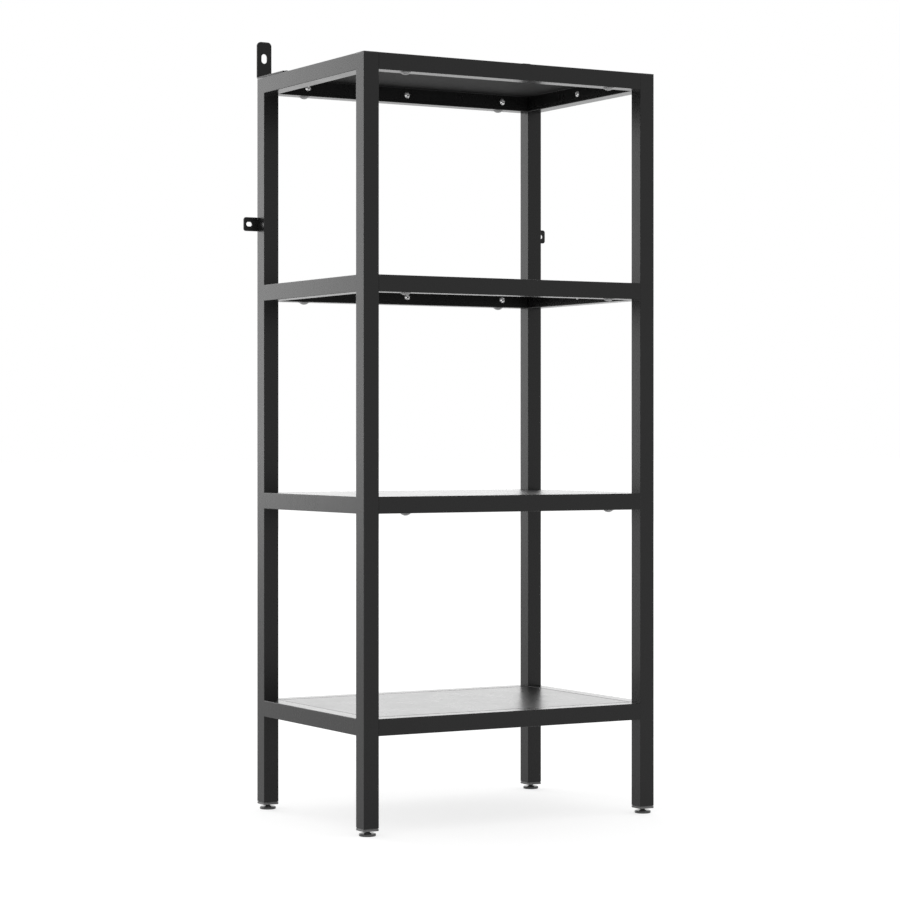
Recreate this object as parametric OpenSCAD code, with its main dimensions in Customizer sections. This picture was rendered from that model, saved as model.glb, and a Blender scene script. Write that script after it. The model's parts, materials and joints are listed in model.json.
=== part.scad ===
// Four-shelf storage rack: black square steel tube, flush sheet-metal shelves,
// screw-in levelling feet, two brackets on top and two tabs for fixing it to a wall.
// Millimetres, +Z up, +X to the right and +Y to the wall. The origin is on the floor,
// in the middle of the rack's plan with its wall plates.

/* [Rack] */
// Width over the posts
rack_w = 610; // [420:1:900]
// Depth over the posts
rack_d = 426; // [300:1:600]
// Height of the top shelf and of the posts, over the floor
rack_h = 1372; // [1100:1:1800]
// Height of the lowest shelf over the floor
bottom_shelf_h = 205; // [120:1:300]

/* [Tube] */
// Outside width of the square tube
tube_w = 30; // [25:0.5:40]
// Wall of the square tube
tube_wall = 1.5; // [1.2:0.1:2]
// Outside corner radius of the square tube
tube_r = 1; // [0.8:0.1:3]

/* [Shelf panels] */
// Thickness of the folded sheet
sheet_t = 1.2; // [0.8:0.1:2]
// Gap between a panel and the rails around it
panel_gap = 1; // [0.6:0.1:2]
// Height of a panel's folded edge
edge_h = 24; // [21:0.5:29]
// Outside radius of the fold
fold_r = 2.2; // [2:0.1:3]
// Relief left open at each corner, between two folded edges
corner_relief = 4; // [2:0.5:8]

/* [Panel screws] */
// Thread diameter
screw_d = 6; // [5:0.5:6]
// Diameter of the domed head
screw_head_d = 11.5; // [9:0.5:12]
// Height of the domed head
screw_head_h = 3.3; // [2:0.1:4]
// Width across the flats of the key socket
screw_key = 4; // [3:0.5:4]
// Length under the head
screw_len = 12; // [8:1:14]
// Depth of the screws below the shelf's top
screw_drop = 15; // [14:0.5:16]
// Distance of the outer screws and of the access holes from the rack's side
fixing_inset = 91; // [85:1:110]
// Length of a rivet nut inside the tube
rivet_nut_len = 11; // [8:0.5:12]
// Wall of a rivet nut round its thread
rivet_nut_wall = 1.4; // [1:0.1:1.6]
// Width of a rivet nut's flange round its body
rivet_nut_lip = 1.8; // [1:0.1:2.5]

/* [Rail joints] */
// Thread diameter of the hidden bolts
bolt_d = 8; // [6:0.5:8]
// Width across the flats of a bolt's head
bolt_key = 13; // [10:0.5:14]
// Height of a bolt's head
bolt_head_h = 5.3; // [4:0.1:6]
// Length under the head
bolt_len = 64; // [60:1:66]
// Thickness of the seat block in the rail
block_t = 10; // [6:0.5:12]
// Distance of the bolt's head from the middle of its access hole
bolt_setback = 7.2; // [7:0.1:9]
// Diameter of the access hole under a rail
access_d = 18; // [16:0.5:20]
// Width of the access plug's rim round its hole
plug_lip = 1.5; // [1:0.1:3]
// Height of the access plug's dome
plug_dome_h = 4.5; // [2:0.1:5]
// Depth of the access plug in the tube
plug_depth = 4; // [3:0.5:5]

/* [Feet] */
// Gap between the floor and the end of a post
foot_gap = 9; // [8:0.5:14]
// Height of the end plug's flange, and so of the plug's visible band
flange_h = 5; // [3:0.5:8]
// Depth of the end plug in the post
foot_plug_depth = 22; // [18:1:30]
// Diameter of the pad on the floor
pad_d = 30; // [24:1:40]
// Height of the pad
pad_h = 5.5; // [4.5:0.1:6.5]
// Chamfer round the pad's top
pad_chamfer = 1; // [0.5:0.1:1.5]
// Floor of the pad's socket, under the stud
pad_floor = 2; // [1.5:0.1:2.5]
// Thread diameter of the stud
stud_d = 10; // [8:1:12]
// Length of the stud
stud_len = 62; // [50:1:80]
// Width across the flats of the stud's nut
foot_nut_key = 17; // [16:0.5:19]
// Height of the stud's nut
foot_nut_h = 8.4; // [6:0.1:10]

/* [Wall fixings] */
// Thickness of the brackets and tabs
plate_t = 3; // [2:0.1:4]
// Height of a bracket over the posts
bracket_h = 70; // [55:1:100]
// Length of a bracket's leg along the side rail, from the back of the posts
bracket_leg = 108; // [100:1:160]
// Distance of the leg's screw from the back of the posts
bracket_screw_y = 94; // [50:1:96]
// Inside radius of the bracket's fold
bracket_fold_r = 1.5; // [1:0.1:3]
// Radius of the bracket's upper corners
bracket_corner_r = 8; // [3:0.5:12]
// Height of the slot's middle over the posts
bracket_slot_h = 38.5; // [25:0.5:45]
// Width of the upright slot
bracket_slot_w = 11.5; // [6:0.5:14]
// Length of the upright slot
bracket_slot_l = 18; // [16:0.5:30]
// Height of a tab's middle over the floor
tab_z = 1098; // [1000:1:1150]
// Reach of a tab beside its post
tab_reach = 27.5; // [24:0.5:40]
// Distance of a tab's inner end from its post's inner side
tab_inset = 4; // [0:0.5:8]
// Height of a tab
tab_h = 26; // [20:0.5:40]
// Radius of a tab's outer corners
tab_corner_r = 4.5; // [2:0.5:8]
// Distance of the slot's middle from the post
tab_slot_out = 16.5; // [12:0.5:17]
// Width of the level slot
tab_slot_w = 8.5; // [6:0.5:12]
// Length of the level slot
tab_slot_l = 12; // [11:0.5:16]
// Diameter of the tab screws' countersunk heads
flush_head_d = 10; // [8:0.5:10]

/* [Hidden] */
$fn = 48;

// Levels from the lowest shelf up
BOTTOM = 0;
LOWER = 1;
UPPER = 2;
TOP = 3;
// Signs of the two sides and of front and rear
LEFT = -1;
RIGHT = 1;
FRONT = -1;
REAR = 1;

// Clearance between a thread and what it passes, on the diameter
thread_play = 0.1;
// Clearance between a screw and a plain hole, on the diameter
hole_play = 0.5;
// Clearance between an access plug's ring and its hole, on the diameter
plug_play = 0.4;
// Clearance between an end plug's core and the inside of its tube, on the width
core_play = 1.2;
// Height of the ribs that an end plug grips its tube with
rib_h = 2;
// Gap between a post cap and the rivet nuts of the top rails
cap_gap = 0.4;
// Overlap that makes a cut pass cleanly through a face
cut = 1;
// Smallest inside corner radius of the tube
inner_r_min = 0.3;
// Height of a post cap's lid
cap_lid_h = 2;
// Wall of an access plug's ring
plug_wall = 1.5;
// Height of the lowest level's access plugs, which are nearly flat
flat_plug_h = 1;
// Depth of the key socket in a domed head
key_depth = 2;
// Gap under the stud in the pad's socket
socket_gap = 0.05;
// Height of the flange of a rail joint's rivet nut
joint_nut_lip_h = 1;
// Length of a rail joint's rivet nut inside the post
joint_nut_len = 15;
// Facets round a domed head
dome_sides = 96;

level_pitch = (rack_h - bottom_shelf_h) / TOP;
// The wall plates stand behind the posts, so the posts sit forward by half a plate
rack_y = -plate_t / 2;
post_x = rack_w / 2 - tube_w / 2;
post_y = rack_d / 2 - tube_w / 2;
back_y = rack_y + rack_d / 2;
tube_in = tube_w - 2 * tube_wall;
tube_in_r = max(tube_r - tube_wall, inner_r_min);
front_rail_l = rack_w - 2 * tube_w;
side_rail_l = rack_d - 2 * tube_w;
fixing_x = rack_w / 2 - fixing_inset;
panel_w = front_rail_l - 2 * panel_gap;
panel_d = side_rail_l - 2 * panel_gap;
panel_nut_d = screw_d + 2 * rivet_nut_wall;
joint_nut_d = bolt_d + 2 * rivet_nut_wall;
// Height of a countersunk head
flush_head_h = (flush_head_d - screw_d) / 2;
// A post cap stops short of the top rails' rivet nuts
cap_depth = tube_w / 2 - joint_nut_d / 2 - cap_gap - cap_lid_h;
bolt_head_x = fixing_x + bolt_setback;
post_z = foot_gap + flange_h;
post_l = rack_h - cap_lid_h - post_z;

function level_z(level) = bottom_shelf_h + level * level_pitch;

// Flat shapes

module rounded_rect(w, d, r) {
    square([w - 2 * r, d], center = true);
    square([w, d - 2 * r], center = true);
    for (x = [-1, 1], y = [-1, 1]) {
        translate([x * (w / 2 - r), y * (d / 2 - r)]) circle(r);
    }
}

module tube_outline() {
    rounded_rect(tube_w, tube_w, tube_r);
}

module slot_outline(length, width) {
    square([length - width, width], center = true);
    for (x = [-1, 1]) {
        translate([x * (length - width) / 2, 0]) circle(width / 2);
    }
}

// Stock and small parts

module tube(length) {
    linear_extrude(length) {
        difference() {
            tube_outline();
            rounded_rect(tube_in, tube_in, tube_in_r);
        }
    }
}

// A domed cap on z = 0
module dome(diameter, height) {
    ball_r = (diameter * diameter / 4 + height * height) / (2 * height);
    intersection() {
        translate([0, 0, height - ball_r]) sphere(ball_r, $fn = dome_sides);
        cylinder(h = height + cut, d = diameter);
    }
}

// A round rod or hole that lies along X, Y or Z from its start
module rod(direction, diameter, length, sides = 48) {
    turn = direction == "x" ? [0, 90, 0] : direction == "y" ? [-90, 0, 0] : [0, 0, 0];
    rotate(turn) cylinder(h = length, d = diameter, $fn = sides);
}

function across_corners(key) = key / cos(30);

// A domed screw that hangs down from z = 0, with its head above
module domed_screw(length) {
    difference() {
        union() {
            dome(screw_head_d, screw_head_h);
            translate([0, 0, -length]) cylinder(h = length + cut, d = screw_d);
        }
        translate([0, 0, screw_head_h - key_depth]) {
            cylinder(h = key_depth + cut, d = across_corners(screw_key), $fn = 6);
        }
    }
}

// A countersunk screw that hangs down from z = 0, where its head is flush
module flush_screw(length) {
    difference() {
        union() {
            translate([0, 0, -flush_head_h]) {
                cylinder(h = flush_head_h, d1 = screw_d, d2 = flush_head_d);
            }
            translate([0, 0, -length]) cylinder(h = length, d = screw_d);
        }
        translate([0, 0, -key_depth]) {
            cylinder(h = key_depth + cut, d = across_corners(screw_key), $fn = 6);
        }
    }
}

// A rivet nut that hangs down from z = 0, with its flange above
module rivet_nut(thread_d, body_len, flange_d, flange_t) {
    difference() {
        union() {
            translate([0, 0, -body_len]) {
                cylinder(h = body_len + flange_t, d = thread_d + 2 * rivet_nut_wall);
            }
            cylinder(h = flange_t, d = flange_d);
        }
        translate([0, 0, -body_len - cut]) {
            cylinder(h = body_len + flange_t + 2 * cut, d = thread_d + thread_play);
        }
    }
}

// A thing drawn along +Z is set on a panel's folded edge, pointing out of the shelf's middle
module at_panel_fixings(level, stand_off) {
    z = level_z(level) - screw_drop;
    for (side = [FRONT, REAR], x = [-fixing_x, 0, fixing_x]) {
        translate([x, rack_y + side * (side_rail_l / 2 - stand_off), z]) {
            rotate([side * 90, 0, 0]) children();
        }
    }
    for (side = [LEFT, RIGHT]) {
        translate([side * (front_rail_l / 2 - stand_off), rack_y, z]) {
            rotate([0, -side * 90, 0]) children();
        }
    }
}

// A thing drawn along +Z is set on each post's inner side, pointing along the rail
module at_rail_joints() {
    for (level = [BOTTOM : TOP], side = [FRONT, REAR], end = [LEFT, RIGHT]) {
        z = level_z(level) - tube_w / 2;
        translate([end * front_rail_l / 2, rack_y + side * post_y, z]) {
            rotate([0, -end * 90, 0]) children();
        }
    }
}

module at_post(side, end) {
    translate([side * post_x, rack_y + end * post_y, 0]) children();
}

module at_posts() {
    for (side = [LEFT, RIGHT], end = [FRONT, REAR]) {
        at_post(side, end) children();
    }
}

// Frame

module post(side, end) {
    color("#1c1c1c") difference() {
        at_post(side, end) translate([0, 0, post_z]) tube(post_l);
        at_rail_joints() {
            translate([0, 0, -tube_wall - cut]) cylinder(h = tube_wall + 2 * cut, d = joint_nut_d);
        }
        if (end == REAR) tab_screw_holes(panel_nut_d);
    }
}

// A front or rear rail, cut square at both ends
module long_rail(level, side) {
    z = level_z(level);
    color("#1c1c1c") difference() {
        translate([-front_rail_l / 2, rack_y + side * post_y, z - tube_w / 2]) {
            rotate([0, 90, 0]) tube(front_rail_l);
        }
        for (x = [-fixing_x, fixing_x]) {
            translate([x, rack_y + side * post_y, z - tube_w - cut]) {
                rod("z", access_d, tube_wall + 2 * cut);
            }
        }
        at_panel_fixings(level, 0) {
            translate([0, 0, -tube_wall - cut]) cylinder(h = tube_wall + 2 * cut, d = panel_nut_d);
        }
    }
}

// A side rail, welded between two posts: the weld fills the round corners and is ground flush
module side_rail(level, side) {
    z = level_z(level);
    weld_l = side_rail_l + 2 * tube_r;
    color("#1c1c1c") difference() {
        translate([side * post_x, rack_y + weld_l / 2, z - tube_w / 2]) {
            rotate([90, 0, 0]) tube(weld_l);
        }
        for (end = [FRONT, REAR]) {
            at_post(side, end) translate([0, 0, z - tube_w - cut]) {
                linear_extrude(tube_w + 2 * cut) tube_outline();
            }
        }
        at_panel_fixings(level, 0) {
            translate([0, 0, -tube_wall - cut]) cylinder(h = tube_wall + 2 * cut, d = panel_nut_d);
        }
        if (level == TOP) bracket_screw_holes(panel_nut_d);
    }
}

// Shelves

// The folded sheet's section across w, with its top at z = 0
module folded_section(w) {
    for (side = [-1, 1]) {
        translate([side * (w - sheet_t) / 2, -(edge_h + fold_r) / 2]) {
            square([sheet_t, edge_h - fold_r], center = true);
        }
        intersection() {
            translate([side * (w / 2 - fold_r), -fold_r]) {
                difference() {
                    circle(fold_r);
                    circle(fold_r - sheet_t);
                }
            }
            translate([side * (w - fold_r) / 2, -fold_r / 2]) square(fold_r, center = true);
        }
    }
    translate([0, -sheet_t / 2]) square([w - 2 * fold_r, sheet_t], center = true);
}

// Square corners of the flat top, where the folded edges stop short of each other
module panel_top() {
    translate([0, 0, -sheet_t]) linear_extrude(sheet_t) {
        square([panel_w - 2 * fold_r, panel_d - 2 * fold_r], center = true);
    }
}

module folded_edges(across, along) {
    translate([0, along / 2 - corner_relief, 0]) rotate([90, 0, 0]) {
        linear_extrude(along - 2 * corner_relief) folded_section(across);
    }
}

module shelf_panel(level) {
    color("#202020") difference() {
        translate([0, rack_y, level_z(level)]) {
            panel_top();
            folded_edges(panel_w, panel_d);
            rotate([0, 0, 90]) folded_edges(panel_d, panel_w);
        }
        at_panel_fixings(level, panel_gap) {
            translate([0, 0, -cut]) cylinder(h = sheet_t + 2 * cut, d = screw_d + hole_play);
        }
    }
}

module panel_screws(level) {
    color("silver") at_panel_fixings(level, panel_gap + sheet_t) domed_screw(screw_len);
}

module panel_nuts(level) {
    color("silver") at_panel_fixings(level, 0) {
        rivet_nut(screw_d, rivet_nut_len, panel_nut_d + 2 * rivet_nut_lip, panel_gap);
    }
}

// Bolted joints inside the front and rear rails

module joint_bolts() {
    head_z = bolt_head_from_post();
    color("silver") at_rail_joints() {
        translate([0, 0, head_z]) cylinder(h = bolt_head_h, d = across_corners(bolt_key), $fn = 6);
        translate([0, 0, head_z - bolt_len]) cylinder(h = bolt_len, d = bolt_d);
    }
}

// The head sits just outboard of the access hole
function bolt_head_from_post() = front_rail_l / 2 - bolt_head_x - bolt_head_h;

module joint_blocks() {
    color("dimgray") at_rail_joints() translate([0, 0, bolt_head_from_post() - block_t]) {
        difference() {
            linear_extrude(block_t) {
                rounded_rect(tube_in - thread_play, tube_in - thread_play, tube_in_r);
            }
            translate([0, 0, -cut]) cylinder(h = block_t + 2 * cut, d = bolt_d + hole_play);
        }
    }
}

module joint_nuts() {
    color("silver") at_rail_joints() {
        rivet_nut(bolt_d, joint_nut_len, joint_nut_d + 2 * rivet_nut_lip, joint_nut_lip_h);
    }
}

// A plug in each access hole: a dome under the rail and a ring in the hole
module access_plugs(level) {
    z = level_z(level) - tube_w;
    dome_h = level == BOTTOM ? flat_plug_h : plug_dome_h;
    color("#101010") for (side = [FRONT, REAR], x = [-fixing_x, fixing_x]) {
        translate([x, rack_y + side * post_y, z]) {
            mirror([0, 0, 1]) dome(access_d + 2 * plug_lip, dome_h);
            difference() {
                cylinder(h = plug_depth, d = access_d - plug_play);
                cylinder(h = plug_depth + cut, d = access_d - plug_play - 2 * plug_wall);
            }
        }
    }
}

// Post ends

// What a plug holds in the tube: a core with two ribs
module plug_body(depth) {
    core = tube_in - core_play;
    linear_extrude(depth) rounded_rect(core, core, tube_in_r);
    for (z = [depth / 4, depth * 3 / 4]) {
        translate([0, 0, z - rib_h / 2]) linear_extrude(rib_h) {
            rounded_rect(tube_in - thread_play, tube_in - thread_play, tube_in_r);
        }
    }
}

module post_cap(side, end) {
    color("#101010") at_post(side, end) translate([0, 0, rack_h - cap_lid_h]) {
        linear_extrude(cap_lid_h) tube_outline();
        mirror([0, 0, 1]) plug_body(cap_depth);
    }
}

module foot_plugs() {
    nut_z = post_z + foot_plug_depth - foot_nut_h;
    color("#2a2a2a") at_posts() difference() {
        union() {
            translate([0, 0, foot_gap]) linear_extrude(flange_h) tube_outline();
            translate([0, 0, post_z]) plug_body(foot_plug_depth);
        }
        translate([0, 0, foot_gap - cut]) rod("z", stud_d + 2 * hole_play, nut_z);
        translate([0, 0, nut_z]) rod("z", across_corners(foot_nut_key), foot_nut_h + cut, 6);
    }
}

module foot_nuts() {
    color("silver") at_posts() translate([0, 0, post_z + foot_plug_depth - foot_nut_h]) {
        difference() {
            cylinder(h = foot_nut_h, d = across_corners(foot_nut_key), $fn = 6);
            translate([0, 0, -cut]) rod("z", stud_d + thread_play, foot_nut_h + 2 * cut);
        }
    }
}

// Levelling feet

module foot_stud(side, end) {
    color("#181818") at_post(side, end) translate([0, 0, pad_floor + socket_gap]) {
        rod("z", stud_d, stud_len);
    }
}

module foot_pad(side, end) {
    color("#303030") at_post(side, end) difference() {
        rotate_extrude() polygon([
            [0, 0],
            [pad_d / 2, 0],
            [pad_d / 2, pad_h - pad_chamfer],
            [pad_d / 2 - pad_chamfer, pad_h],
            [0, pad_h]
        ]);
        translate([0, 0, pad_floor]) rod("z", stud_d + thread_play, pad_h);
    }
}

// Wall fixings

module bracket_screw_holes(diameter) {
    for (side = [LEFT, RIGHT]) {
        translate([side * post_x, back_y - bracket_screw_y, rack_h - tube_wall - cut]) {
            rod("z", diameter, tube_wall + plate_t + 2 * cut);
        }
    }
}

module tab_screw_holes(diameter) {
    for (side = [LEFT, RIGHT]) {
        translate([side * post_x, back_y - tube_wall - cut, tab_z]) {
            rod("y", diameter, tube_wall + plate_t + 2 * cut);
        }
    }
}

// The bracket's side view, with y to the right and the posts' top and back at the origin
module bracket_section() {
    fold_out_r = bracket_fold_r + plate_t;
    translate([-bracket_leg, 0]) square([bracket_leg - bracket_fold_r, plate_t]);
    translate([0, fold_out_r]) square([plate_t, bracket_h - fold_out_r]);
    intersection() {
        translate([-bracket_fold_r, fold_out_r]) difference() {
            circle(fold_out_r);
            circle(bracket_fold_r);
        }
        translate([-bracket_fold_r, 0]) square(fold_out_r);
    }
}

// The bracket's front view: a strip as wide as the tube, with round upper corners
module bracket_outline() {
    translate([0, (bracket_h - bracket_corner_r) / 2]) {
        square([tube_w, bracket_h - bracket_corner_r], center = true);
    }
    translate([0, bracket_h - bracket_corner_r]) {
        square([tube_w - 2 * bracket_corner_r, 2 * bracket_corner_r], center = true);
        for (x = [-1, 1]) {
            translate([x * (tube_w / 2 - bracket_corner_r), 0]) circle(bracket_corner_r);
        }
    }
}

module wall_bracket(side) {
    color("#161616") difference() {
        translate([side * post_x, back_y, rack_h]) difference() {
            intersection() {
                translate([-tube_w / 2, 0, 0]) rotate([90, 0, 90]) {
                    linear_extrude(tube_w) bracket_section();
                }
                translate([0, plate_t + cut, 0]) rotate([90, 0, 0]) {
                    linear_extrude(bracket_leg + plate_t + 2 * cut) bracket_outline();
                }
            }
            translate([0, plate_t + cut, bracket_slot_h]) rotate([90, 90, 0]) {
                linear_extrude(plate_t + 2 * cut) slot_outline(bracket_slot_l, bracket_slot_w);
            }
        }
        bracket_screw_holes(screw_d + hole_play);
    }
}

// A tab lies behind its post and reaches out beside it
module tab_outline() {
    tab_l = tube_w + tab_reach - tab_inset;
    difference() {
        translate([(tab_reach + tab_inset) / 2, 0]) rounded_rect(tab_l, tab_h, tab_corner_r);
        translate([tube_w / 2 + tab_slot_out, 0]) slot_outline(tab_slot_l, tab_slot_w);
    }
}

module wall_tab(side) {
    color("#161616") difference() {
        translate([side * post_x, back_y + plate_t, tab_z]) rotate([90, 0, 0]) {
            linear_extrude(plate_t) mirror([side == LEFT ? 1 : 0, 0]) tab_outline();
        }
        tab_screw_holes(screw_d + hole_play);
        tab_countersinks();
    }
}

module tab_countersinks() {
    for (side = [LEFT, RIGHT]) {
        translate([side * post_x, back_y + plate_t, tab_z]) rotate([90, 0, 0]) {
            cylinder(h = flush_head_h, d1 = flush_head_d, d2 = screw_d);
        }
    }
}

module bracket_screws() {
    color("#282828") {
        for (side = [LEFT, RIGHT]) {
            translate([side * post_x, back_y - bracket_screw_y, rack_h + plate_t]) {
                domed_screw(screw_len);
            }
            translate([side * post_x, back_y + plate_t, tab_z]) {
                rotate([-90, 0, 0]) flush_screw(screw_len);
            }
        }
    }
}

// Flush rivet nuts in the side rails' tops and the rear posts' backs
module bracket_nuts() {
    color("silver") for (side = [LEFT, RIGHT]) {
        translate([side * post_x, back_y - bracket_screw_y, rack_h]) {
            rivet_nut(screw_d, rivet_nut_len, panel_nut_d, 0);
        }
        translate([side * post_x, back_y, tab_z]) rotate([-90, 0, 0]) {
            rivet_nut(screw_d, rivet_nut_len, panel_nut_d, 0);
        }
    }
}

post(LEFT, FRONT);  // post_front_left
post(RIGHT, FRONT);  // post_front_right
post(LEFT, REAR);  // post_rear_left
post(RIGHT, REAR);  // post_rear_right
long_rail(BOTTOM, FRONT);  // front_rail_bottom
long_rail(LOWER, FRONT);  // front_rail_lower
long_rail(UPPER, FRONT);  // front_rail_upper
long_rail(TOP, FRONT);  // front_rail_top
long_rail(BOTTOM, REAR);  // rear_rail_bottom
long_rail(LOWER, REAR);  // rear_rail_lower
long_rail(UPPER, REAR);  // rear_rail_upper
long_rail(TOP, REAR);  // rear_rail_top
side_rail(BOTTOM, LEFT);  // left_rail_bottom
side_rail(LOWER, LEFT);  // left_rail_lower
side_rail(UPPER, LEFT);  // left_rail_upper
side_rail(TOP, LEFT);  // left_rail_top
side_rail(BOTTOM, RIGHT);  // right_rail_bottom
side_rail(LOWER, RIGHT);  // right_rail_lower
side_rail(UPPER, RIGHT);  // right_rail_upper
side_rail(TOP, RIGHT);  // right_rail_top
shelf_panel(BOTTOM);  // shelf_panel_bottom
shelf_panel(LOWER);  // shelf_panel_lower
shelf_panel(UPPER);  // shelf_panel_upper
shelf_panel(TOP);  // shelf_panel_top
panel_screws(BOTTOM);  // panel_screws_bottom
panel_screws(LOWER);  // panel_screws_lower
panel_screws(UPPER);  // panel_screws_upper
panel_screws(TOP);  // panel_screws_top
panel_nuts(BOTTOM);  // panel_nuts_bottom
panel_nuts(LOWER);  // panel_nuts_lower
panel_nuts(UPPER);  // panel_nuts_upper
panel_nuts(TOP);  // panel_nuts_top
access_plugs(BOTTOM);  // access_plugs_bottom
access_plugs(LOWER);  // access_plugs_lower
access_plugs(UPPER);  // access_plugs_upper
access_plugs(TOP);  // access_plugs_top
joint_bolts();
joint_blocks();
joint_nuts();
post_cap(LEFT, FRONT);  // post_cap_front_left
post_cap(RIGHT, FRONT);  // post_cap_front_right
post_cap(LEFT, REAR);  // post_cap_rear_left
post_cap(RIGHT, REAR);  // post_cap_rear_right
foot_plugs();
foot_nuts();
foot_stud(LEFT, FRONT);  // foot_stud_front_left
foot_stud(RIGHT, FRONT);  // foot_stud_front_right
foot_stud(LEFT, REAR);  // foot_stud_rear_left
foot_stud(RIGHT, REAR);  // foot_stud_rear_right
foot_pad(LEFT, FRONT);  // foot_pad_front_left
foot_pad(RIGHT, FRONT);  // foot_pad_front_right
foot_pad(LEFT, REAR);  // foot_pad_rear_left
foot_pad(RIGHT, REAR);  // foot_pad_rear_right
wall_bracket(LEFT);  // wall_bracket_left
wall_bracket(RIGHT);  // wall_bracket_right
wall_tab(LEFT);  // wall_tab_left
wall_tab(RIGHT);  // wall_tab_right
bracket_screws();
bracket_nuts();
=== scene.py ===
import json
import math

import bmesh
import bpy
from mathutils import Matrix, Vector


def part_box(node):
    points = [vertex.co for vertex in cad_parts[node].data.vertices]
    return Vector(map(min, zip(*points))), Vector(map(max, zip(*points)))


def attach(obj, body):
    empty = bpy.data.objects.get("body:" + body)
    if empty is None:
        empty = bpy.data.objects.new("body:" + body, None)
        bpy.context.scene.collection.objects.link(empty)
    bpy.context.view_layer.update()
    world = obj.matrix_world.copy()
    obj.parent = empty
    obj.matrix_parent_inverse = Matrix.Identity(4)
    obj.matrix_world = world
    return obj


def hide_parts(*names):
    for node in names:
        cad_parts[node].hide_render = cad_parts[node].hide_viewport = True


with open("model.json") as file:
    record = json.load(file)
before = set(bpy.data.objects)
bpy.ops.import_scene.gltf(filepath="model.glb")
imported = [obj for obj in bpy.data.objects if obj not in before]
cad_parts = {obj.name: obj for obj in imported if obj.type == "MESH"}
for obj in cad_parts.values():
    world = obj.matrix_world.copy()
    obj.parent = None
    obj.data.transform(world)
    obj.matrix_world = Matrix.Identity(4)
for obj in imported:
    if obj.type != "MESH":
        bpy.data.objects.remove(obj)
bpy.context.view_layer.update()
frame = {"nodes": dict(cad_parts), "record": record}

CORNERS = ("front_left", "front_right", "rear_left", "rear_right")
LEVELS = ("bottom", "lower", "upper", "top")
SIDES = ("left", "right")
MM = 0.001

# ---------------------------------------------------------------- materials


class Shader:
    """One node material with a Principled shader."""

    def __init__(self, name, **values):
        self.material = bpy.data.materials.new(name)
        self.material.use_nodes = True
        self.nodes = self.material.node_tree.nodes
        self.links = self.material.node_tree.links
        self.shader = self.nodes["Principled BSDF"]
        for socket, value in values.items():
            self.shader.inputs[socket.replace("_", " ")].default_value = value
        self.place = self.add("ShaderNodeTexCoord").outputs["Object"]
        self.height = None

    def add(self, kind, **settings):
        node = self.nodes.new(kind)
        for key, value in settings.items():
            setattr(node, key, value)
        return node

    def wire(self, source, target):
        self.links.new(source, target)

    def noise(self, size, detail=2.0, roughness=0.5, stretch=(1, 1, 1)):
        """Noise with features about size metres wide, drawn out along an axis by stretch."""
        mapping = self.add("ShaderNodeMapping")
        mapping.inputs["Scale"].default_value = [1 / (size * s) for s in stretch]
        self.wire(self.place, mapping.inputs["Vector"])
        node = self.add("ShaderNodeTexNoise")
        node.inputs["Scale"].default_value = 1
        node.inputs["Detail"].default_value = detail
        node.inputs["Roughness"].default_value = roughness
        self.wire(mapping.outputs["Vector"], node.inputs["Vector"])
        return node.outputs["Fac"]

    def spread(self, value, low, high, start=0.3, end=0.7):
        """value, from start to end, spread over low to high."""
        node = self.add("ShaderNodeMapRange")
        for name, number in (
            ("From Min", start),
            ("From Max", end),
            ("To Min", low),
            ("To Max", high),
        ):
            node.inputs[name].default_value = number
        self.wire(value, node.inputs["Value"])
        return node.outputs["Result"]

    def math(self, operation, a, b):
        node = self.add("ShaderNodeMath", operation=operation)
        for socket, value in zip(node.inputs, (a, b)):
            if isinstance(value, (int, float)):
                socket.default_value = value
            else:
                self.wire(value, socket)
        return node.outputs["Value"]

    def blend(self, factor, a, b):
        """Colour a where factor is 0, and b where it is 1."""
        node = self.add("ShaderNodeMix", data_type="RGBA")
        colours = [s for s in node.inputs if s.type == "RGBA"]
        for socket, value in zip(colours, (a, b)):
            if isinstance(value, tuple):
                socket.default_value = (*value, 1)
            else:
                self.wire(value, socket)
        self.wire(factor, node.inputs["Factor"])
        return [s for s in node.outputs if s.type == "RGBA"][0]

    def bump(self, value, distance, strength=1.0):
        node = self.add("ShaderNodeBump")
        node.inputs["Distance"].default_value = distance
        node.inputs["Strength"].default_value = strength
        self.wire(value, node.inputs["Height"])
        if self.height:
            self.wire(self.height, node.inputs["Normal"])
        self.height = node.outputs["Normal"]
        self.wire(self.height, self.shader.inputs["Normal"])

    def colour(self, value):
        self.wire(value, self.shader.inputs["Base Color"])

    def roughness(self, value):
        self.wire(value, self.shader.inputs["Roughness"])


def grey(level):
    return (level, level, level)


def powder_coat(name, dark, light, low, high, wave, ior, under=0.0):
    """Black powder coat with orange peel, a fine fleck, patches of gloss and rubbed streaks.

    wave is the depth of its slow waviness in metres, and under is the roughness that the
    thin, dry coat on faces looking down has on top of the rest.
    """
    s = Shader(name, IOR=ior)
    fleck = s.spread(s.noise(0.9 * MM, 3), 0, 1, 0.35, 0.65)
    s.colour(s.blend(fleck, grey(dark), grey(light)))
    patches = s.spread(s.noise(70 * MM, 4, 0.6), low, high)
    rub = s.spread(s.noise(9 * MM, 3, 0.6, stretch=(1, 1, 6)), -0.015, 0.015)
    axes = s.add("ShaderNodeSeparateXYZ")
    s.wire(s.add("ShaderNodeTexCoord").outputs["Normal"], axes.inputs[0])
    dry = s.spread(axes.outputs["Z"], under, 0, start=-0.9, end=-0.5)
    s.roughness(s.math("ADD", s.math("ADD", patches, rub), dry))
    s.bump(s.noise(160 * MM, 1), wave)
    s.bump(s.noise(2.2 * MM, 2), 0.01 * MM, 0.6)
    return s.material


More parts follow.
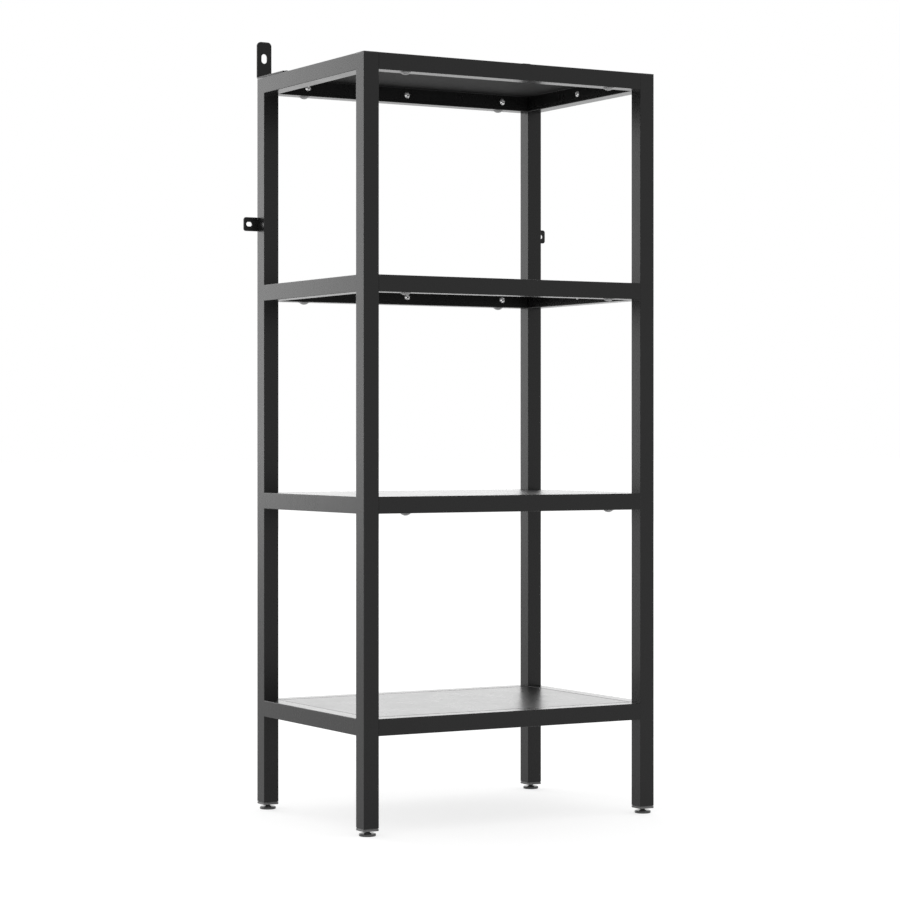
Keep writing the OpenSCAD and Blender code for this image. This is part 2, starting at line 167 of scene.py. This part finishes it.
def steel(name, colour, low, high, tint, painted_hollow_shade, metallic=1.0):
    """Plated steel: a mottled plating, with painted shade darkening its hollows and key
    sockets.
    """
    s = Shader(name, Metallic=metallic)
    mottle = s.spread(s.noise(3 * MM, 3, 0.6), 0, 1)
    # Painted shade: concave places such as the key sockets, found by pointiness, get the darker
    # colour given last
    hollow = s.spread(s.add("ShaderNodeNewGeometry").outputs["Pointiness"], 1, 0, 0.38, 0.49)
    s.colour(s.blend(hollow, s.blend(mottle, colour, tint), painted_hollow_shade))
    s.roughness(s.spread(s.noise(0.8 * MM, 4, 0.6), low, high))
    s.bump(s.noise(0.5 * MM, 3), 0.01 * MM, 0.5)
    return s.material


def moulded(name, colour, light, low, high, grain):
    """Moulded plastic with a spark-eroded grain."""
    s = Shader(name, IOR=1.48)
    mottle = s.spread(s.noise(6 * MM, 3), 0, 1)
    s.colour(s.blend(mottle, grey(colour), grey(light)))
    s.roughness(s.spread(s.noise(2.5 * MM, 3), low, high))
    s.bump(s.noise(grain, 2), 0.03 * MM, 0.7)
    return s.material


MATERIALS = {
    "frame_coat": powder_coat(
        "frame_coat", 0.005, 0.008, low=0.25, high=0.28, wave=0.03 * MM, ior=1.33
    ),
    "panel_coat": powder_coat(
        "panel_coat", 0.005, 0.008, low=0.27, high=0.3, wave=0.06 * MM, ior=1.33, under=0.45
    ),
    "bracket_coat": powder_coat(
        "bracket_coat", 0.004, 0.007, low=0.32, high=0.4, wave=0.02 * MM, ior=1.32
    ),
    # The last colour given to each steel is painted shade for its hollows and sockets
    "bright_steel": steel("bright_steel", grey(0.9), 0.22, 0.32, grey(0.78), grey(0.12), 0.6),
    "dark_steel": steel("dark_steel", grey(0.035), 0.34, 0.5, grey(0.055), grey(0.015)),
    "plastic": moulded("plastic", 0.008, 0.013, 0.18, 0.24, 0.5 * MM),
    "grey_plastic": moulded("grey_plastic", 0.26, 0.32, 0.28, 0.38, 0.5 * MM),
    "plug_plastic": moulded("plug_plastic", 0.09, 0.115, 0.34, 0.46, 0.5 * MM),
    "pad_plastic": moulded("pad_plastic", 0.04, 0.055, 0.36, 0.46, 0.4 * MM),
}

slots = {part["node"]: part["material_slot"] for part in frame["record"]["subparts"]}
for node, obj in frame["nodes"].items():
    if not obj.material_slots:
        obj.data.materials.append(None)
    for holder in obj.material_slots:
        holder.material = MATERIALS[slots[node]]

# ---------------------------------------------------------------- pieces


def cleaned(node):
    """A bmesh of a CAD node, with its doubled corners joined."""
    bm = bmesh.new()
    bm.from_mesh(frame["nodes"][node].data)
    bmesh.ops.remove_doubles(bm, verts=bm.verts, dist=1e-6)
    return bm


def solids(node):
    """The lowest and highest corner of each separate solid of a CAD node, in order of place."""
    bm = cleaned(node)
    left, found = set(bm.verts), []
    while left:
        group, queue = [], [left.pop()]
        while queue:
            v = queue.pop()
            group.append(v.co.copy())
            for e in v.link_edges:
                other = e.other_vert(v)
                if other in left:
                    left.remove(other)
                    queue.append(other)
        found.append(
            (
                Vector(min(c[i] for c in group) for i in range(3)),
                Vector(max(c[i] for c in group) for i in range(3)),
            )
        )
    bm.free()
    return sorted(found, key=lambda ends: tuple(ends[0]))


def finish_piece(name, bm, nodes, body, crease=35):
    """Makes a piece from a bmesh. It stands for the CAD nodes and rides on the body."""
    mesh = bpy.data.meshes.new(name)
    bmesh.ops.recalc_face_normals(bm, faces=bm.faces)
    bm.to_mesh(mesh)
    bm.free()
    obj = bpy.data.objects.new(name, mesh)
    bpy.context.scene.collection.objects.link(obj)
    mesh.polygons.foreach_set("use_smooth", [True] * len(mesh.polygons))
    mesh.set_sharp_from_angle(angle=math.radians(crease))
    slot = slots[nodes[0]]
    mesh.materials.append(MATERIALS[slot])
    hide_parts(*nodes)
    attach(obj, body)
    return obj


EASE = 0.5 * MM


def eased(name, node):
    """A CAD node of the rack with its sharp edges rounded off."""
    bm = cleaned(node)
    bmesh.ops.dissolve_limit(
        bm,
        angle_limit=math.radians(1),
        use_dissolve_boundaries=False,
        verts=bm.verts,
        edges=bm.edges,
    )
    obj = finish_piece(name, bm, [node], "rack")
    bevel = obj.modifiers.new("eased_edges", "BEVEL")
    bevel.width = EASE
    bevel.segments = 3
    bevel.limit_method = "ANGLE"
    bevel.angle_limit = math.radians(40)
    bevel.harden_normals = True


def turned(bm, rings, place, sides=48):
    """Adds a turned shape about Z, from rings of (radius, height).

    A radius may be a function of the angle, and a radius of 0 closes an end.
    """
    made = []
    for radius, height in rings:
        if radius == 0:
            made.append([bm.verts.new(place @ Vector((0, 0, height)))])
            continue
        ring = []
        for i in range(sides):
            a = 2 * math.pi * i / sides
            r = radius(a) if callable(radius) else radius
            ring.append(
                bm.verts.new(place @ Vector((r * math.cos(a), r * math.sin(a), height)))
            )
        made.append(ring)
    for low, high in zip(made, made[1:]):
        for i in range(sides):
            corners = [
                low[i % len(low)],
                low[(i + 1) % len(low)],
                high[(i + 1) % len(high)],
                high[i % len(high)],
            ]
            corners = list(dict.fromkeys(corners))
            if len(corners) > 2:
                bm.faces.new(corners)


def arc(radius, start, end, centre, steps):
    """Points of (radius, height) along an arc in the turned section, angles in degrees."""
    points = []
    for i in range(steps + 1):
        a = math.radians(start + (end - start) * i / steps)
        points.append((centre[0] + radius * math.cos(a), centre[1] + radius * math.sin(a)))
    return points


def hexagon(flats):
    """The radius of a hexagon at an angle."""

    def radius(a):
        return flats / 2 / math.cos((a + math.pi / 6) % (math.pi / 3) - math.pi / 6)

    return radius


# The screws: domed head, countersunk head, shank and key socket, as in the CAD model
HEAD_D = 11.5 * MM
HEAD_H = 3.3 * MM
FLUSH_D = 10 * MM
SCREW_D = 6 * MM
SCREW_L = 12 * MM
KEY = 4 * MM
SOCKET_D = 2 * MM


def dome_height(radius, base, height):
    """The height at radius of a dome that is base in radius and height tall."""
    ball = (base * base + height * height) / (2 * height)
    return height - ball + math.sqrt(ball * ball - radius * radius)


def shank():
    """The rings of a screw's shank, from its chamfered tip up to 0."""
    r = SCREW_D / 2
    chamfer = 0.6 * MM
    return [(0, -SCREW_L), (r - chamfer, -SCREW_L), (r, -SCREW_L + chamfer), (r, 0)]


def domed_screw(bm, place):
    """A button-head screw along +Z with its head's seat at 0."""
    base = HEAD_D / 2
    rim = [(base - 0.15 * MM, 0), (base, 0.15 * MM), (base - 0.05 * MM, 0.35 * MM)]
    dome = [
        (base * share, dome_height(base * share, base, HEAD_H))
        for share in (0.945, 0.88, 0.8, 0.72, 0.64, 0.56, 0.48)
    ]
    lip = dome[-1][1]
    key = hexagon(KEY)
    floor = HEAD_H - SOCKET_D
    socket = [
        (2.55 * MM, lip + 0.03 * MM),
        (2.38 * MM, lip - 0.05 * MM),
        (key, lip - 0.3 * MM),
        (key, floor),
        (0, floor - 0.7 * MM),
    ]
    turned(bm, shank() + rim + dome + socket, place)


def flush_screw(bm, place):
    """A countersunk screw along +Z with the top of its head at 0."""
    base = FLUSH_D / 2
    depth = (FLUSH_D - SCREW_D) / 2
    key = hexagon(KEY)
    rings = shank()[:-1] + [
        (SCREW_D / 2, -depth),
        (base - 0.1 * MM, -0.1 * MM),
        (base - 0.2 * MM, 0),
        (2.6 * MM, 0),
        (2.4 * MM, -0.08 * MM),
        (key, -0.3 * MM),
        (key, -SOCKET_D),
        (0, -SOCKET_D - 0.4 * MM),
    ]
    turned(bm, rings, place)


def along(start, direction):
    """A placement at start with +Z along direction."""
    turn = Vector((0, 0, 1)).rotation_difference(direction).to_matrix().to_4x4()
    return Matrix.Translation(start) @ turn


def panel_screw_places(level):
    """Placements of a panel's screws, heads towards the middle of the shelf."""
    low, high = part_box("shelf_panel_" + level)
    middle = (low + high) / 2
    places = []
    for lo, hi in solids("panel_screws_" + level):
        centre, size = (lo + hi) / 2, hi - lo
        axis = 0 if size[0] > size[1] else 1
        inward = -1 if centre[axis] > middle[axis] else 1
        direction = Vector((0, 0, 0))
        direction[axis] = inward
        seat = centre + direction * (size[axis] / 2 - HEAD_H)
        places.append(along(seat, direction))
    return places


for level in LEVELS:
    bm = bmesh.new()
    for place in panel_screw_places(level):
        domed_screw(bm, place)
    finish_piece("panel_screws_turned_" + level, bm, ["panel_screws_" + level], "rack")

bm = bmesh.new()
for lo, hi in solids("bracket_screws"):
    centre, size = (lo + hi) / 2, hi - lo
    if size[2] > size[1]:
        seat = Vector((centre[0], centre[1], hi[2] - HEAD_H))
        domed_screw(bm, along(seat, Vector((0, 0, 1))))
    else:
        face = Vector((centre[0], hi[1], centre[2]))
        flush_screw(bm, along(face, Vector((0, 1, 0))))
finish_piece("bracket_screws_turned", bm, ["bracket_screws"], "rack")

# The access holes under the rails and their plugs
ACCESS_D = 18 * MM
PLUG_D = 21 * MM
PLUG_DEPTH = 4 * MM
PLUG_PLAY = 0.4 * MM
PLUG_WALL = 1.5 * MM


def access_plug(bm, place, dome):
    """A hole plug along -Z under its rail: a ring in the hole, a thin flange and a low dome."""
    base = PLUG_D / 2
    ring = (ACCESS_D - PLUG_PLAY) / 2
    rings = [
        (0, 0.6 * MM),
        (ring - PLUG_WALL, 0.6 * MM),
        (ring - PLUG_WALL, PLUG_DEPTH),
        (ring - 0.4 * MM, PLUG_DEPTH),
        (ring, PLUG_DEPTH - 0.5 * MM),
        (ring, 0),
        (base - 0.15 * MM, 0),
        (base, -0.15 * MM),
        (base, -0.3 * MM),
        (base - 0.25 * MM, -0.5 * MM),
        (base - 0.9 * MM, -0.6 * MM),
    ]
    crown = base - 1.0 * MM
    for r in (9.4, 9.0, 8.4, 7.6, 6.6, 5.4, 4.0, 2.6, 1.6):
        rings.append((r * MM, -dome_height(r * MM, crown, dome)))
    rings += [(1.0 * MM, -dome + 0.25 * MM), (0, -dome + 0.3 * MM)]
    turned(bm, rings, place, 64)


for level in LEVELS:
    bm = bmesh.new()
    for lo, hi in solids("access_plugs_" + level):
        centre = (lo + hi) / 2
        seat = Vector((centre[0], centre[1], hi[2] - PLUG_DEPTH))
        access_plug(bm, Matrix.Translation(seat), seat[2] - lo[2])
    finish_piece("access_plugs_turned_" + level, bm, ["access_plugs_" + level], "rack")

# The foot studs' thread: outside and root radius, pitch and the radius of its flat ends
STUD_R = 5 * MM
ROOT_R = 4.1 * MM
PITCH = 1.5 * MM
END_R = ROOT_R - 0.4 * MM


def thread(bm, x, y, low, high):
    """A screw thread about a vertical axis, with a chamfer at each end."""
    sides = 32
    # The thread's section: points at a share of the pitch, each at the root, 0, or the crest, 1
    section = ((0.0, 0), (0.12, 0), (0.44, 1), (0.56, 1), (0.88, 0))
    steps = round((high - low) / PITCH * sides)
    columns = []
    for i in range(steps + 1):
        a = 2 * math.pi * i / sides
        column = []
        for share, crest in section:
            z = low + PITCH * (i / sides + share - 1)
            r = ROOT_R + crest * (STUD_R - ROOT_R)
            z = min(max(z, low), high)
            r = min(r, END_R + (z - low), END_R + (high - z))
            column.append(bm.verts.new((x + r * math.cos(a), y - r * math.sin(a), z)))
        columns.append(column)
    for first, second in zip(columns, columns[1:]):
        for k in range(len(section) - 1):
            bm.faces.new((first[k], second[k], second[k + 1], first[k + 1]))
    for i in range(len(columns) - sides):
        if i + sides + 1 < len(columns):
            here, after = columns[i], columns[i + 1]
            above, above_after = columns[i + sides], columns[i + sides + 1]
            bm.faces.new((here[-1], after[-1], above_after[0], above[0]))
    for z in (low, high):
        ring = []
        for i in range(sides):
            a = 2 * math.pi * i / sides
            ring.append(bm.verts.new((x + END_R * math.cos(a), y + END_R * math.sin(a), z)))
        bm.faces.new(ring)
    bmesh.ops.remove_doubles(bm, verts=bm.verts, dist=1e-6)


# The foot pads: radius, height, the floor under the stud and the bore that the stud stands in
PAD_R = 15 * MM
PAD_H = 5.5 * MM
PAD_FLOOR = 2 * MM
PAD_BORE_R = 5.05 * MM


def foot_pad(bm, x, y):
    """A round pad: a rounded rim, a shallow dish and a collar round the stud's socket."""
    roll = 1.5 * MM
    rings = [
        (0, 0),
        (PAD_R - 1.0 * MM, 0),
        (PAD_R - 0.4 * MM, 0.2 * MM),
        (PAD_R - 0.05 * MM, 0.7 * MM),
    ]
    rings += arc(roll, 0, 100, (PAD_R - roll, 3.0 * MM), 8)
    rings += [
        (PAD_R - 2.6 * MM, 4.3 * MM),
        (PAD_R - 3.8 * MM, 4.1 * MM),
        (7.4 * MM, 4.2 * MM),
        (6.9 * MM, 4.6 * MM),
        (6.7 * MM, PAD_H - 0.2 * MM),
        (6.4 * MM, PAD_H),
        (5.5 * MM, PAD_H),
        (5.2 * MM, PAD_H - 0.3 * MM),
        (PAD_BORE_R, PAD_H - 0.5 * MM),
        (PAD_BORE_R, PAD_FLOOR),
        (0, PAD_FLOOR),
    ]
    turned(bm, rings, Matrix.Translation((x, y, 0)), 72)


# The posts' tube, and the end plugs' flange, nut pocket and stud hole
TUBE_W = 30 * MM
TUBE_R = 1 * MM
TUBE_IN = 27 * MM
FLANGE_H = 5 * MM
NUT_KEY = 17 * MM
NUT_H = 8.4 * MM
STUD_HOLE_R = 5.5 * MM


def rounded_square(width, corner):
    """The radius of a square with round corners at an angle."""

    def radius(a):
        b = abs((a + math.pi / 4) % (math.pi / 2) - math.pi / 4)
        flat = width / 2 / math.cos(b)
        centre = width / 2 - corner
        if flat * math.sin(b) <= centre:
            return flat
        reach = centre * math.sqrt(2)
        off = math.pi / 4 - b
        return reach * math.cos(off) + math.sqrt(
            max(corner * corner - (reach * math.sin(off)) ** 2, 0)
        )

    return radius


def end_plug(bm, low, high):
    """An end plug: a flange, a shadow gap under the post, a ribbed core and a nut pocket."""
    middle = (low + high) / 2
    depth = high[2] - low[2]
    core = rounded_square(TUBE_IN - 1.2 * MM, 0.5 * MM)
    rib = rounded_square(TUBE_IN - 0.1 * MM, 0.5 * MM)
    recess = rounded_square(TUBE_W - 2.4 * MM, TUBE_R - 0.8 * MM)
    flange = rounded_square(TUBE_W, TUBE_R)
    nut = hexagon(NUT_KEY)
    rings = [
        (STUD_HOLE_R, depth - NUT_H),
        (STUD_HOLE_R, 0.5 * MM),
        (STUD_HOLE_R + 0.5 * MM, 0),
        (rounded_square(TUBE_W - 2.2 * MM, TUBE_R - 0.9 * MM), 0),
        (rounded_square(TUBE_W - 1.0 * MM, TUBE_R - 0.4 * MM), 0.2 * MM),
        (rounded_square(TUBE_W - 0.3 * MM, TUBE_R), 0.6 * MM),
        (flange, 1.2 * MM),
        (flange, FLANGE_H - 1.5 * MM),
        (rounded_square(TUBE_W - 0.4 * MM, TUBE_R), FLANGE_H - 1.2 * MM),
        (recess, FLANGE_H - 1.1 * MM),
        (recess, FLANGE_H),
        (core, FLANGE_H),
    ]
    for share in (0.25, 0.75):
        middle_of_rib = FLANGE_H + share * (depth - FLANGE_H)
        for up, shape in ((-1.4, core), (-1.0, rib), (1.0, rib), (1.4, core)):
            rings.append((shape, middle_of_rib + up * MM))
    rings += [
        (core, depth),
        (nut, depth),
        (nut, depth - NUT_H),
        (STUD_HOLE_R, depth - NUT_H),
    ]
    turned(bm, rings, Matrix.Translation((middle[0], middle[1], low[2])), 144)


for corner in CORNERS:
    low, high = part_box("foot_stud_" + corner)
    x, y = (low[0] + high[0]) / 2, (low[1] + high[1]) / 2
    bm = bmesh.new()
    thread(bm, x, y, low[2], high[2])
    finish_piece(
        "threaded_stud_" + corner, bm, ["foot_stud_" + corner], "stud_" + corner, 30
    )
    bm = bmesh.new()
    foot_pad(bm, x, y)
    finish_piece("rolled_pad_" + corner, bm, ["foot_pad_" + corner], "pad_" + corner)
    eased("eased_cap_" + corner, "post_cap_" + corner)

bm = bmesh.new()
for lo, hi in solids("foot_plugs"):
    end_plug(bm, lo, hi)
bmesh.ops.remove_doubles(bm, verts=bm.verts, dist=1e-7)
finish_piece("ribbed_foot_plugs", bm, ["foot_plugs"], "rack", 30)

for side in SIDES:
    eased("eased_bracket_" + side, "wall_bracket_" + side)
    eased("eased_tab_" + side, "wall_tab_" + side)

# ---------------------------------------------------------------- floor, world and camera

FLOOR_HALF = 60
FLOOR_DROP = 0.3 * MM
# What the camera, mirrors and glass see of the floor: a pale surface that takes the object's
# shadow, and enough glow to bring it up to white
FLOOR_SEEN = 0.4
FLOOR_GLOW = 0.68
# What lights the object from below
FLOOR_BOUNCE = 0.8

scene = bpy.context.scene
scene.view_settings.view_transform = "Standard"


def larger(tree, a, b):
    """The larger of two values in a node tree."""
    node = tree.nodes.new("ShaderNodeMath")
    node.operation = "MAXIMUM"
    tree.links.new(a, node.inputs[0])
    tree.links.new(b, node.inputs[1])
    return node.outputs[0]


def matt(tree, level):
    """A matt grey surface in a node tree."""
    node = tree.nodes.new("ShaderNodeBsdfDiffuse")
    node.inputs["Color"].default_value = (*grey(level), 1)
    return node.outputs[0]


def lit_floor():
    """A white floor: the camera, mirrors and glass see it white with the object's shadow."""
    material = bpy.data.materials.new("studio_floor")
    material.use_nodes = True
    tree = material.node_tree
    nodes, links = tree.nodes, tree.links
    nodes.clear()
    glow = nodes.new("ShaderNodeEmission")
    glow.inputs["Strength"].default_value = FLOOR_GLOW
    shown = nodes.new("ShaderNodeAddShader")
    links.new(matt(tree, FLOOR_SEEN), shown.inputs[0])
    links.new(glow.outputs[0], shown.inputs[1])
    path = nodes.new("ShaderNodeLightPath").outputs
    mirrors = larger(tree, path["Is Glossy Ray"], path["Is Transmission Ray"])
    choice = nodes.new("ShaderNodeMixShader")
    links.new(larger(tree, path["Is Camera Ray"], mirrors), choice.inputs[0])
    links.new(matt(tree, FLOOR_BOUNCE), choice.inputs[1])
    links.new(shown.outputs[0], choice.inputs[2])
    out = nodes.new("ShaderNodeOutputMaterial")
    links.new(choice.outputs[0], out.inputs["Surface"])
    return material


bm = bmesh.new()
bmesh.ops.create_grid(bm, x_segments=1, y_segments=1, size=FLOOR_HALF)
bmesh.ops.translate(bm, verts=bm.verts, vec=(0, 0, -FLOOR_DROP))
mesh = bpy.data.meshes.new("studio_floor")
bm.to_mesh(mesh)
bm.free()
mesh.materials.append(lit_floor())
floor = bpy.data.objects.new("studio_floor", mesh)
scene.collection.objects.link(floor)

# A white world at the plain level for every ray
world = bpy.data.worlds.new("studio")
scene.world = world
world.use_nodes = True
background = world.node_tree.nodes["Background"]
background.inputs["Color"].default_value = (1, 1, 1, 1)
background.inputs["Strength"].default_value = 1


def soft_lamp(name, place, target, size, level):
    """A rectangular softbox aimed at target. Its surface shines at level: white is 1."""
    data = bpy.data.lights.new(name, "AREA")
    data.shape = "RECTANGLE"
    data.size, data.size_y = size
    data.energy = level * math.pi * size[0] * size[1]
    lamp = bpy.data.objects.new(name, data)
    scene.collection.objects.link(lamp)
    lamp.location = place
    aim = Vector(target) - lamp.location
    lamp.rotation_euler = aim.to_track_quat("-Z", "Y").to_euler()
    lamp.visible_camera = False


# A low softbox in front, and two large ones far behind, which the posts' left faces and the
# shelves' tops reflect
soft_lamp("front_lamp", (-1.0, -3.2, 0.35), (0, 0, 0.9), (2.2, 0.6), 2.4)
soft_lamp("back_left_lamp", (-3.0, 14, 5.0), (-3.0, 0, 5.0), (10, 10), 2.7)
soft_lamp("back_right_lamp", (8.1, 14, 6.0), (8.1, 0, 6.0), (12, 8.8), 1.36)

# The photo's camera: about 5 m from the rack, half way up it and level, 30 degrees to its left
EYE = (-2.501, -4.328, 0.701)
HEADING = 29.94
LENS = 106.95
SHIFT = -0.0161

camera_data = bpy.data.cameras.new("camera")
camera = bpy.data.objects.new("camera", camera_data)
scene.collection.objects.link(camera)
scene.camera = camera
camera.location = EYE
camera.rotation_euler = (math.radians(90), 0, math.radians(-HEADING))
camera_data.sensor_width = 36
camera_data.lens = LENS
camera_data.shift_y = SHIFT
camera_data.clip_end = 200
